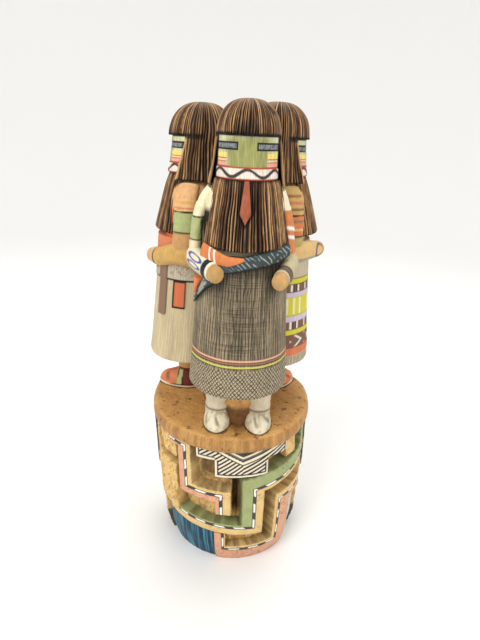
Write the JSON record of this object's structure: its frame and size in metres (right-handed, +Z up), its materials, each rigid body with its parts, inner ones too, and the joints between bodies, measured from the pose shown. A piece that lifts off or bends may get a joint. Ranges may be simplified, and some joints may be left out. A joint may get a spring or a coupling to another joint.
{
  "type": "kachina doll carving",
  "caption": "Painted wood carving of three long-haired bearded kachina figures back to back on a disc, over a round base carved with stepped fret bands. Stands on its flat underside.",
  "frame": {"origin": "on the flat underside, on the axis of the disc that the figures stand on", "axes": "+Z up the carving, and the front figure looks along -Y"},
  "size_m": [0.0978, 0.0978, 0.25],
  "materials": {
    "painted_wood": "matte painted and burned cottonwood root"
  },
  "bodies": {
    "root": {"kachina_carving": "painted_wood"}
  },
  "joints": []
}
